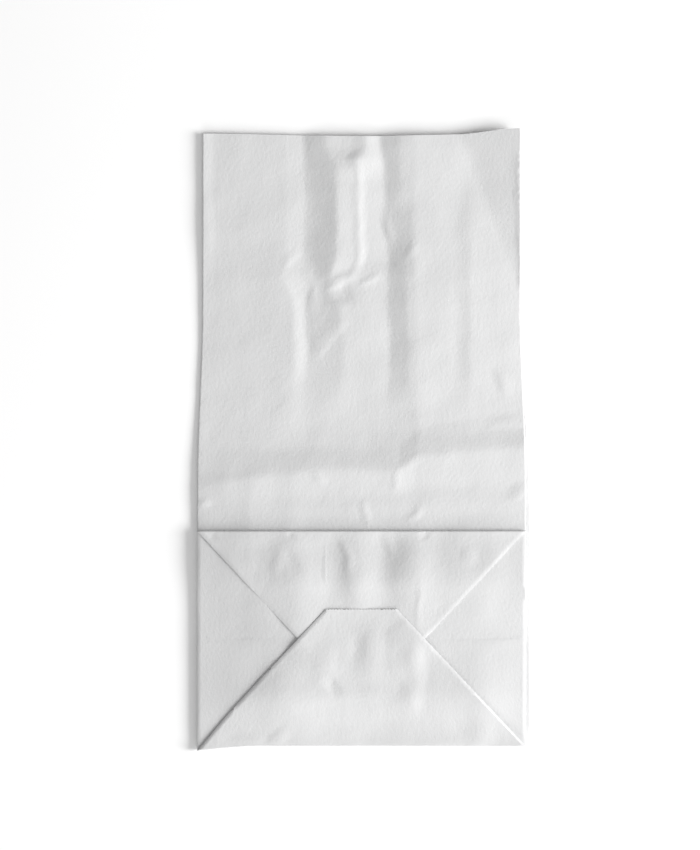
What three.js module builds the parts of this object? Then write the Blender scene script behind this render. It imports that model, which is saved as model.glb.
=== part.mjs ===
// A white paper sick bag, folded flat as it is stored, with its block bottom turned up over its front.
// It is one sheet: a gusseted tube glued down its back, whose closed end is folded into the bottom.
// The sheet is laid out flat as u, the way round the tube, and v, the way up it from the bottom's edge.
// Every crease of that blank is folded flat, which puts each facet in a layer of the stack.
// Millimetres. X runs across the bag, Y toward its mouth, and Z up from the table it lies on.

import * as THREE from 'three';

// The paper and how tightly it lies
const paper = 0.12;
const layerStep = 0.32;
const foldReach = 0.8;
const foldNest = 0.45;
const bendNest = 0.6;
const bendFade = 3;

// The bag, folded flat
const bagWidth = 127;
const foldedLength = 235.8;
const bottomDepth = 83.3;
const flapDepth = 52.9;
const mitreRise = 1.065;

// The glued lap down the back, from the left edge
const lapInset = 8;
const lapWidth = 16;
const lapStep = 0.1;

// How the used shape strays from the folded one
const mouthNarrowing = 4.1;
const narrowFrom = 102;
const narrowTo = 170;
const backPeek = 1.7;
const peekEnd = 172;
const mouthHollow = 1;
const mouthKick = 1.9;
const kickFrom = 38;
const mouthReach = 32;
const heelDroop = 1.9;
const heelReach = 24;
const heelFade = 30;
const peekStart = [0.6, 6];

// The corner of the mouth that is bent up, across a line from the mouth's edge to the side
const liftLineTop = [38, 236.4];
const liftLineSide = [61.5, 179];
const liftSlope = 0.15;
const liftEase = 6;

// What shows through the front: a short flat tie in the bag, and the hollow between the gussets
const tieWidth = 10.5;
const tieLength = 41.4;
const tieFromMouth = 10.4;
const tieMiddle = -1.2;
const tieHeight = 1.1;
const tieGroove = 0.35;
const grooveInset = 2.6;
const grooveSpread = 0.7;
const tieSide = 1.1;
const tieShare = 0.55;
const tieWall = 0.5;
const tieEndWall = 1;
const hollowDepth = 0.35;
const hollowWall = 1.2;
const slopeFoot = 12;
const tentFade = 34;
const bottomEase = 12;
const sideEase = 6;

// Soft folds across the front just above the bottom, and pleats down the bottom's upper flap
const crossFolds = [
  { middle: 120, spread: 14, height: 0.5 },
  { middle: 96, spread: 8, height: 0.4 },
];
const pleats = [
  { middle: -11.6, spread: 6, height: 0.55 },
  { middle: 6.6, spread: 6, height: 0.6 },
  { middle: 22.2, spread: 5, height: 0.3 },
];
const pleatFrom = 41.7;
const pleatTo = 10.4;
const pleatEase = 3;

// Sizes of the flat blank, worked out from the folded bag
const half = bagWidth / 2;
const gusset = bottomDepth / mitreRise;
const centreFold = gusset / 2;
const mouth = foldedLength / mitreRise;
const turn = flapDepth / mitreRise;
const wayRound = 2 * (bagWidth + gusset);
const frontStart = bagWidth + gusset;

// The layers from the table up. The lap's second thickness takes room above the back and the lower flap.
const layerOrder = ['back', 'gussetBack', 'gussetFront', 'front', 'frontUnder', 'cornerTuck', 'sideTuck',
  'sideFlap', 'upperMitre', 'upperFlap', 'lowerMitre', 'lowerFlap'];
const roomAbove = { back: 0.12, lowerMitre: 0.18 };

function layerHeights() {
  const heights = {};
  let height = paper / 2;
  for (const layer of layerOrder) {
    heights[layer] = height;
    height += layerStep + (roomAbove[layer] ?? 0);
  }
  return heights;
}

const heightOf = layerHeights();

// Where a fold's rounding is sampled, from its crease outward
const nearFold = [0, 0.3 * foldReach, foldReach];

// The tie's place under the front
const tieLeft = tieMiddle - tieWidth / 2;
const tieRight = tieMiddle + tieWidth / 2;
const tieTop = foldedLength - tieFromMouth;
const tieEnd = tieTop - tieLength;

// Small helpers
const clamp01 = (t) => Math.min(1, Math.max(0, t));
const smooth = (from, to, t) => {
  const s = clamp01((t - from) / (to - from));
  return s * s * (3 - 2 * s);
};
const box = (u0, u1, v0, v1) => [[u0, v0], [u1, v0], [u1, v1], [u0, v1]];
const bump = (t, spread) => Math.exp(-((t / spread) ** 2));

// The facets of the blank, each with its layer and the place that a point of it folds to
function backFacets() {
  return [
    ['back', box(0, bagWidth, 0, mouth), (u, v) => [u - half, v]],
    ['lowerFlap', [[0, 0], [bagWidth, 0], [bagWidth - turn, -turn], [turn, -turn]], (u, v) => [u - half, -v]],
    ['lowerMitre', [[0, 0], [turn, -turn], [0, -turn]], (u, v) => [-half - v, u]],
    ['lowerMitre', [[bagWidth, 0], [bagWidth, -turn], [bagWidth - turn, -turn]],
      (u, v) => [half + v, bagWidth - u]],
  ];
}

function frontFacets() {
  const end = frontStart + bagWidth;
  const across = (u) => half - (u - frontStart);
  return [
    ['front', box(frontStart, end, centreFold, mouth), (u, v) => [across(u), v]],
    ['frontUnder', box(frontStart, end, 0, centreFold), (u, v) => [across(u), gusset - v]],
    ['upperFlap', [[frontStart, 0], [end, 0], [end - turn, -turn], [frontStart + turn, -turn]],
      (u, v) => [across(u), gusset + v]],
    ['upperMitre', [[frontStart, 0], [frontStart + turn, -turn], [frontStart, -turn]],
      (u, v) => [half + v, gusset - (u - frontStart)]],
    ['upperMitre', [[end, 0], [end, -turn], [end - turn, -turn]], (u, v) => [-half - v, gusset - (end - u)]],
  ];
}

// A gusset's own way across, s, runs from the back's corner to the front's. side is 1 on the right.
function gussetFacets(side) {
  const toU = (s) => (side > 0 ? bagWidth + s : wayRound - s);
  const toS = (u) => (side > 0 ? u - bagWidth : wayRound - u);
  const facets = [
    ['gussetBack', [[0, 0], [centreFold, centreFold], [centreFold, mouth], [0, mouth]],
      (s, v) => [side * (half - s), v]],
    ['gussetFront', box(centreFold, gusset, centreFold, mouth), (s, v) => [side * (half - gusset + s), v]],
    ['cornerTuck', [[gusset, 0], [gusset, centreFold], [centreFold, centreFold]],
      (s, v) => [side * (half - gusset + s), gusset - v]],
    ['sideTuck', [[0, 0], [gusset, 0], [centreFold, centreFold]], (s, v) => [side * (half - v), s]],
    ['sideFlap', box(0, gusset, -turn, 0), (s, v) => [side * (half + v), s]],
  ];
  return facets.map(([layer, corners, place]) =>
    [layer, corners.map(([s, v]) => [toU(s), v]), (u, v) => place(toS(u), v)]);
}

const facets = [...backFacets(), ...gussetFacets(1), ...frontFacets(), ...gussetFacets(-1)]
  .map(([layer, corners, place]) => ({ layer, corners, place, height: heightOf[layer] }));

// How far a point of the blank lies outside a facet, and 0 within it
function distanceTo(corners, u, v) {
  let inside = true;
  let nearest = Infinity;
  let turnSign = 0;
  corners.forEach(([au, av], i) => {
    const [bu, bv] = corners[(i + 1) % corners.length];
    const along = clamp01(((u - au) * (bu - au) + (v - av) * (bv - av)) / ((bu - au) ** 2 + (bv - av) ** 2));
    nearest = Math.min(nearest, Math.hypot(u - au - along * (bu - au), v - av - along * (bv - av)));
    const side = (bu - au) * (v - av) - (bv - av) * (u - au);
    turnSign = turnSign || Math.sign(side);
    if (side * turnSign < 0) inside = false;
  });
  return inside ? 0 : nearest;
}

// Each facet's share in a point, so that heights run round a fold in a half ellipse
function facetShares(u, v) {
  const shares = [];
  for (const facet of facets) {
    for (const wrap of [-wayRound, 0, wayRound]) {
      const reach = Math.min(1, distanceTo(facet.corners, u + wrap, v) / foldReach);
      const rise = Math.sqrt(1 - (1 - reach) ** 2);
      if (rise < 1) shares.push({ facet, u: u + wrap, share: (1 - rise) / (1 + rise) });
    }
  }
  return shares;
}

// Folds that another one wraps lie a little inside it, and the gussets' cross fold a little outside
function nesting(u, v) {
  const s = u > bagWidth && u < frontStart ? u - bagWidth : wayRound - u;
  const inGusset = s > 0 && s < gusset;
  if (v < 0) {
    const depth = -v;
    const grown = clamp01(depth / nearFold[1]);
    if (inGusset) return foldNest * (1 - (2 * s) / gusset) * grown;
    const onFront = u >= frontStart;
    const across = onFront ? u - frontStart : u;
    const fromCorner = Math.min(across, bagWidth - across);
    return (onFront ? -1 : 1) * foldNest * clamp01(1 - fromCorner / Math.max(depth, foldReach)) * grown;
  }
  const nearBend = clamp01(1 - Math.abs(v - centreFold) / bendFade);
  if (inGusset) {
    const wrapped = 0.5 + 0.5 * clamp01((gusset - s) / foldReach);
    return -bendNest * wrapped * nearBend * clamp01(1 - (centreFold - s) / (2 * bendFade));
  }
  const fromSide = Math.min(u - frontStart, frontStart + bagWidth - u);
  return -bendNest * 0.5 * nearBend * clamp01(1 - fromSide / foldReach);
}

// The bag as it lies: narrower to the mouth, its back out past its front on the right, its corners astray
function settle(x, y, height) {
  const widthShare = 1 - (mouthNarrowing / bagWidth) * smooth(narrowFrom, narrowTo, y);
  const behind = 1 - smooth(heightOf.gussetBack, heightOf.gussetFront, height);
  const peek = backPeek * behind * smooth(0, half, x) * (1 - smooth(bottomDepth, peekEnd, y)) * smooth(...peekStart, y);
  const toMouth = smooth(foldedLength - mouthReach, foldedLength, y);
  const hollow = mouthHollow * smooth(0, half, Math.abs(x)) + mouthKick * smooth(kickFrom, half, x);
  const droop = -heelDroop * clamp01(1 - (x + half) / heelReach) ** 1.5 * (1 - smooth(0, heelFade, y));
  return [x * widthShare + peek, y + toMouth * hollow + droop];
}

// The mouth's right corner is bent up, every layer of it
function cornerLift(x, y) {
  const run = [liftLineSide[0] - liftLineTop[0], liftLineSide[1] - liftLineTop[1]];
  const beyond = (run[0] * (y - liftLineTop[1]) - run[1] * (x - liftLineTop[0])) / Math.hypot(...run);
  return liftSlope * (Math.hypot(Math.max(0, beyond), liftEase) - liftEase);
}

// What the front panel's surface does: the hollow between the gussets, the tie, and the folds across it
function frontRelief(x, y) {
  const aboveBottom = smooth(bottomDepth, bottomDepth + bottomEase, y);
  const gussetEdge = half - centreFold;
  const hollow = -hollowDepth * smooth(0, hollowWall, gussetEdge - Math.abs(x));
  const along = smooth(tieEnd - tentFade, tieEnd, y);
  const rampLeft = clamp01((x + gussetEdge) / (tieLeft + gussetEdge));
  const rampRight = clamp01((tieRight + slopeFoot - x) / slopeFoot);
  const tent = (tieHeight - tieSide / 3) * along * Math.min(rampLeft, rampRight);
  const onTie = smooth(tieLeft - tieWall, tieLeft + tieWall, x)
    * (1 - smooth(tieRight - tieWall, tieRight + tieWall, x));
  const between = onTie * smooth(tieEnd - tieEndWall, tieEnd + tieEndWall, y)
    * (1 - smooth(tieTop - tieEndWall, tieTop + tieEndWall, y));
  const groove = tieGroove * bump(x - tieRight + grooveInset, grooveSpread);
  const tie = between * (tieSide * tieShare - groove);
  const folds = crossFolds.reduce((sum, f) => sum + f.height * bump(y - f.middle, f.spread), 0);
  return aboveBottom * (hollow + tent + tie + folds * smooth(0, sideEase, half - Math.abs(x)));
}

// The bottom's upper flap has pleats that run down from its top fold
function upperFlapRelief(x, y) {
  const down = smooth(bottomDepth - pleatFrom, bottomDepth - pleatTo, y);
  const fold = smooth(0, pleatEase, bottomDepth - y);
  return pleats.reduce((sum, p) => sum + p.height * bump(x - p.middle, p.spread), 0) * down * fold;
}

function relief(layer, x, y) {
  if (layer === 'front') return frontRelief(x, y);
  if (layer === 'upperFlap') return upperFlapRelief(x, y);
  return 0;
}

// The middle of the sheet at a point of the blank
function sheetMiddle(u, v) {
  const around = (u + wayRound) % wayRound;
  const shares = facetShares(around, v);
  const own = shares.reduce((best, s) => (s.share > best.share ? s : best));
  const [x, flatY] = own.facet.place(own.u, v);
  const y = (flatY + nesting(around, v)) * mitreRise;
  const total = shares.reduce((sum, s) => sum + s.share, 0);
  const height = shares.reduce((sum, s) => sum + s.share * s.facet.height, 0) / total;
  const raised = shares.reduce((sum, s) => sum + s.share * relief(s.facet.layer, x, y), 0) / total;
  const [settledX, settledY] = settle(x, y, height);
  return new THREE.Vector3(settledX, settledY, height + raised + cornerLift(x, y));
}

// Which way the outside of the bag faces there
function outward(u, v) {
  const step = 0.02;
  const acrossU = sheetMiddle(u + step, v).sub(sheetMiddle(u - step, v));
  const low = Math.max(v - step, -turn);
  const high = Math.min(v + step, mouth);
  const alongV = sheetMiddle(u, high).sub(sheetMiddle(u, low));
  return alongV.cross(acrossU).normalize();
}

// Where the two faces of the sheet lie. Inside the lap it is double, and left of it the inner edge goes on.
function faceOffsets(u) {
  const onBack = u < bagWidth;
  const stepsIn = onBack && u > 0 && u < lapInset + lapStep / 2;
  const lapped = onBack && u > 0 && u < lapInset + lapWidth + lapStep / 2;
  return { outer: paper / 2 - (stepsIn ? paper : 0), inner: -paper / 2 - (lapped ? paper : 0) };
}

// Stations across each panel and up each column. Diagonal creases pass through matching stations.
function mirrored(stations, width) {
  return [...stations, ...stations.map((a) => width - a).reverse()];
}

// Stations at one spacing in every layer keep the layers parallel where the stack is bent.
const inPanel = [0.4, 0.8].map((share) => share * centreFold);
const lapStations = [lapInset, lapInset + lapStep, lapInset + lapWidth, lapInset + lapWidth + lapStep];
const backRight = [...nearFold, ...inPanel, turn];
const backLeft = [...nearFold, ...lapStations, ...inPanel, turn].sort((a, b) => a - b);
const pleatStations = [12, 24, 43];
const frontHalf = [...nearFold, ...inPanel, ...pleatStations, centreFold - 1, centreFold + 1.5, turn]
  .sort((a, b) => a - b);
const gussetHalf = [...nearFold, ...inPanel, ...nearFold.map((a) => centreFold - a).reverse()];
const tieStations = [tieRight + tieWall, tieRight - tieWall, tieRight - grooveInset, tieLeft + tieWall,
  tieLeft - tieWall].map((x) => half - x);

// Rows across the body, counted down from the mouth or up from the bottom's fold
const fromMouth = [65.8, 56.8, 47.8, 38.8, 29.8, 20.8, 11.8, 5.8, 0];
const liftRows = fromMouth.map((d) => (foldedLength - d) / mitreRise);
const bodyRows = [70, 102, 126, 150].map((y) => y / mitreRise).concat(liftRows);
const foldRows = [86, 92, 98, 104, 110, 118, 128, 138, 150, 160].map((y) => y / mitreRise);
const tieRows = [tieEnd - tieEndWall, tieEnd + tieEndWall, tieTop + tieEndWall].map((y) => y / mitreRise);
const frontRows = [...foldRows, ...tieRows, ...liftRows];

const bottomRows = (stationsIn) => stationsIn.map((a) => -a).reverse();
const bendRows = nearFold.map((a) => centreFold - a).reverse();
const aboveBend = nearFold.slice(1).map((a) => centreFold + a);

function columns() {
  const list = [];
  const add = (u, rows, foldsRise, foldsBelow, acrossRises) => {
    const rising = (v) => (v < foldsBelow ? foldsRise : acrossRises);
    list.push({ u, rows: [...new Set(rows)].sort((a, b) => a - b), rising });
  };

  [...backLeft, ...mirrored(backRight, bagWidth).slice(backRight.length, -1)].forEach((a, i) => {
    const onRight = i >= backLeft.length;
    add(a, [...bottomRows(onRight ? backRight : backLeft), ...nearFold, ...bodyRows], onRight, 0, true);
  });
  const gussetColumns = [...gussetHalf.slice(0, -1), ...gussetHalf.map((a) => gusset - a).reverse()];
  const gussetRows = [-turn, -turn / 2, ...bottomRows(nearFold), ...gussetHalf, ...aboveBend, ...bodyRows];
  const edgeRows = (stationsIn) => [...bottomRows(stationsIn), ...gussetHalf, ...aboveBend, ...bodyRows];
  const gussetAt = (start) => gussetColumns.slice(0, -1).forEach((a, i) => {
    const corner = start === bagWidth ? backRight : frontHalf;
    const firstHalf = i < gussetHalf.length - 1;
    const inward = start === bagWidth ? !firstHalf : firstHalf;
    add(start + a, i === 0 ? edgeRows(corner) : gussetRows, firstHalf, centreFold, inward);
  });
  gussetAt(bagWidth);
  const frontColumns = [...frontHalf, ...tieStations, ...frontHalf.map((a) => bagWidth - a).reverse()];
  frontColumns.slice(0, -1).forEach((a, i) => {
    const plain = Math.min(a, bagWidth - a) < foldReach + 0.01;
    const rows = [...bottomRows(frontHalf), ...nearFold, ...bendRows, ...aboveBend, gusset, mouth];
    add(frontStart + a, plain ? [...rows, ...gussetHalf, ...bodyRows] : [...rows, ...frontRows],
      i >= frontHalf.length, 0, false);
  });
  gussetAt(frontStart + bagWidth);
  return list;
}

// One face of the sheet as triangles between neighbouring columns, stepping up both together
function zipColumns(list, firstVertex, triangles) {
  list.forEach((left, i) => {
    const right = list[(i + 1) % list.length];
    const leftBase = firstVertex[i];
    const rightBase = firstVertex[(i + 1) % list.length];
    let a = 0;
    let b = 0;
    while (a < left.rows.length - 1 || b < right.rows.length - 1) {
      const gap = (left.rows[a + 1] ?? Infinity) - (right.rows[b + 1] ?? Infinity);
      const stepRight = Math.abs(gap) < 1e-6 ? left.rising(left.rows[a]) : gap > 0;
      const next = stepRight ? rightBase + b + 1 : leftBase + a + 1;
      triangles.push([leftBase + a, next, rightBase + b]);
      if (stepRight) b += 1;
      else a += 1;
    }
  });
}

function sheetGeometry() {
  const list = columns();
  const outerStart = [];
  const positions = [];
  for (const face of ['outer', 'inner']) {
    for (const { u, rows } of list) {
      if (face === 'outer') outerStart.push(positions.length / 3);
      for (const v of rows) {
        const point = sheetMiddle(u, v).addScaledVector(outward(u, v), faceOffsets(u)[face]);
        positions.push(point.x, point.y, point.z);
      }
    }
  }
  const perFace = positions.length / 6;
  const outer = [];
  zipColumns(list, outerStart, outer);
  const inner = outer.map(([a, b, c]) => [a + perFace, c + perFace, b + perFace]);
  const rims = [];
  list.forEach((column, i) => {
    const next = (i + 1) % list.length;
    const low = [outerStart[i], outerStart[next]];
    const high = low.map((start, k) => start + list[k ? next : i].rows.length - 1);
    rims.push([low[0], low[1], low[0] + perFace], [low[1], low[1] + perFace, low[0] + perFace]);
    rims.push([high[0], high[0] + perFace, high[1]], [high[1], high[0] + perFace, high[1] + perFace]);
  });
  const geometry = new THREE.BufferGeometry();
  geometry.setAttribute('position', new THREE.Float32BufferAttribute(positions, 3));
  geometry.setIndex([...outer, ...inner, ...rims].flat());
  return geometry;
}

// The origin is under the middle of the bag, on the table
function centred(geometry) {
  geometry.computeBoundingBox();
  const middle = geometry.boundingBox.getCenter(new THREE.Vector3());
  geometry.translate(-middle.x, -middle.y, -geometry.boundingBox.min.z);
  geometry.computeVertexNormals();
  return geometry;
}

const whitePaper = new THREE.MeshStandardMaterial({ color: 0xf1f2f3, roughness: 0.82, metalness: 0 });

const sickBag = new THREE.Group();
const paperBag = new THREE.Mesh(centred(sheetGeometry()), whitePaper);
paperBag.name = 'paper_bag';
sickBag.add(paperBag);

export default sickBag;
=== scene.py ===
# A white paper sick bag, folded flat, lying on its back on a white surface and seen from straight above.
# The sheet is made as the folded blank that it is: u runs round the tube of paper and v up it from the
# bottom's edge. Every crease folds it into a layer of the stack, and the used paper's dents and soft
# creases are laid over that. Lengths are millimetres until the mesh is made. Places run from the middle of
# the bottom's fold until settle has been at work, and from then on they are in the CAD model's frame.

import math

import bpy
import numpy as np
from mathutils import Matrix, Vector


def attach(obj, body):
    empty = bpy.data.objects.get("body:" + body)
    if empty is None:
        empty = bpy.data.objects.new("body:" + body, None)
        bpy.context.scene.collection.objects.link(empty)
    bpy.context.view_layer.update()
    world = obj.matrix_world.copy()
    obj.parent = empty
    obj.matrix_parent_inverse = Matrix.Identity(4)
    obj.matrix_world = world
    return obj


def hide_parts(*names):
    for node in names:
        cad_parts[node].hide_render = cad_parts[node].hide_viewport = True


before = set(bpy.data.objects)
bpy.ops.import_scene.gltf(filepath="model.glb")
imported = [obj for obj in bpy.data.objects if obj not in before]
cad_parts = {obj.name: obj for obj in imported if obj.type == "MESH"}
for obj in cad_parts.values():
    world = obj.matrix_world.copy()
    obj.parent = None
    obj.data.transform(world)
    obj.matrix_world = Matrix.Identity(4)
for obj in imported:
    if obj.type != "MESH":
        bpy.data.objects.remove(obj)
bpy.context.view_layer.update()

MM = 0.001

# The paper and how tightly its folds lie
PAPER = 0.12
LAYER_STEP = 0.32
LAP_ROOM = 0.12
MITRE_ROOM = 0.18
FOLD_REACH = 0.4
FOLD_START = 0.3 * FOLD_REACH
FOLD_NEST = 0.3
BEND_NEST = 0.6
BEND_FADE = 3.0

# The bag, folded flat. Lengths up the bag are longer than in the blank by the mitres' rise.
BAG_WIDTH = 127.0
FOLDED_LENGTH = 235.8
BOTTOM_DEPTH = 83.3
FLAP_DEPTH = 52.9
MITRE_RISE = 1.065

# The glued lap down the back
LAP_INSET = 14.0
LAP_WIDTH = 14.0
LAP_STEP = 0.3

# How the used bag strays from the folded one: narrower to its mouth, which is hollow and kicks out on the
# right, its back out past its front on the right, and its bottom's left corner drooping
MOUTH_NARROWING = 4.1
NARROW_FROM = 102.0
NARROW_TO = 170.0
BACK_PEEK = 1.7
PEEK_START = (0.6, 6.0)
PEEK_END = 172.0
MOUTH_HOLLOW = 1.0
MOUTH_KICK = 1.9
KICK_FROM = 38.0
MOUTH_REACH = 32.0
HEEL_DROOP = 1.9
HEEL_REACH = 24.0
HEEL_CURVE = 1.5
HEEL_FADE = 30.0

# The line across the mouth's right corner that the corner is bent up from, and how steeply
LIFT_TOP = (38.0, 236.4)
LIFT_SIDE = (61.5, 179.0)
LIFT_SLOPE = 0.15
LIFT_EASE = 2.5

# The bottom's swell, as (x, height) across it, and how far up and down it takes to grow
SWELL_LINE = ((-63.5, 0.0), (-29.0, 3.3), (49.0, 3.2), (63.5, 2.3))
SWELL_SOFTEN = (-4.0, -2.0, 0.0, 2.0, 4.0)
SWELL_RUN = 22.0

# The bottom's lower flap sinks where the upper one isn't under it, and in its middle
SINKING = ("lower_mitre", "lower_flap")
SINK = 0.7
SINK_RUN = (-1.0, 9.0)
SINK_SLANT = 0.7
SINK_MIDDLE = 0.4
SINK_MIDDLE_REACH = (8.0, 26.0)

# Where the middle of the bag's box lies, from the middle of the bottom's fold
CENTRE_X = 0.85
CENTRE_Y = 118.4

# How fine the mesh is where the sheet is seen and where it is hidden, and the teeth of the cut edge
FINE = 1.05
FOLD_MARGIN = 0.15
SHOWN_MARGIN = 1.0
GUSSET_STEP = 2.4
HIDDEN_FROM = 4.0
HIDDEN_STEP = 7.0
SHARP_FOLD = 50.0
TOOTH_PITCH = 1.2
TOOTH_DEPTH = 0.35

# Room for rounding, the least way between two fold lines, and the step that slopes are measured over
NEARLY = 0.01
ROW_DIGITS = 6
SAME_ROW = 1e-5
LEAST_WIDTH = 0.1
SLOPE_STEP = 0.02

# Slack paper's soft waves, as (length, height), and how far its folds wander, as (length, way)
WAVE_COUNT = 7
WAVE_SPREAD = (0.7, 1.6)
WAVES = ((34, 0.09), (15, 0.035))
WANDER = ((30, 0.45), (9, 0.22))
WANDER_SEEDS = (11, 12)

# The cockle of the paper: its height, how many waves to a metre, their detail, and which random pattern
COCKLE_HEIGHT = 0.22
COCKLE_WAVES = 130.0
COCKLE_DETAIL = 2.0
COCKLE_SEED = 4.0

# Folds are softened by averaging over a short way, in shares of each set's own spread
SOFTEN = (-0.7, -0.35, 0, 0.35, 0.7)
FRONT_SPREAD = 1.0
CROSS_SPREAD = 1.6
FLAP_SPREAD = 4.0

# A crease's roundness as a share of its narrower side, how it dies out at its ends, and how much of its
# side is straight
CREASE_ROUND = 0.3
CREASE_END = 9.0
CREASE_END_SHARE = 0.45
CREASE_STRAIGHT = 0.35

# Sizes of the flat blank, worked out from the folded bag
HALF = BAG_WIDTH / 2
GUSSET = BOTTOM_DEPTH / MITRE_RISE
CENTRE_FOLD = GUSSET / 2
MOUTH = FOLDED_LENGTH / MITRE_RISE
TURN = FLAP_DEPTH / MITRE_RISE
WAY_ROUND = 2 * (BAG_WIDTH + GUSSET)
FRONT_START = BAG_WIDTH + GUSSET

# The layers of the stack from the table up, and the extra room above two of them
LAYERS = (
    "back", "gusset_back", "gusset_front", "front", "front_under", "corner_tuck", "side_tuck",
    "side_flap", "upper_mitre", "upper_flap", "lower_mitre", "lower_flap",
)
ROOM_ABOVE = {"back": LAP_ROOM, "lower_mitre": MITRE_ROOM}

# The flaps have a relief of their own. Every layer follows the front's too, the ones under it less, and
# that dies out down from the bottom's top fold.
OWN_RELIEF = ("upper_flap", "lower_flap", "side_flap")
FOLLOWS_LESS = {"gusset_front": 0.75, "gusset_back": 0.5, "back": 0.0}
FOLLOW_RUN = 38.0

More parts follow.
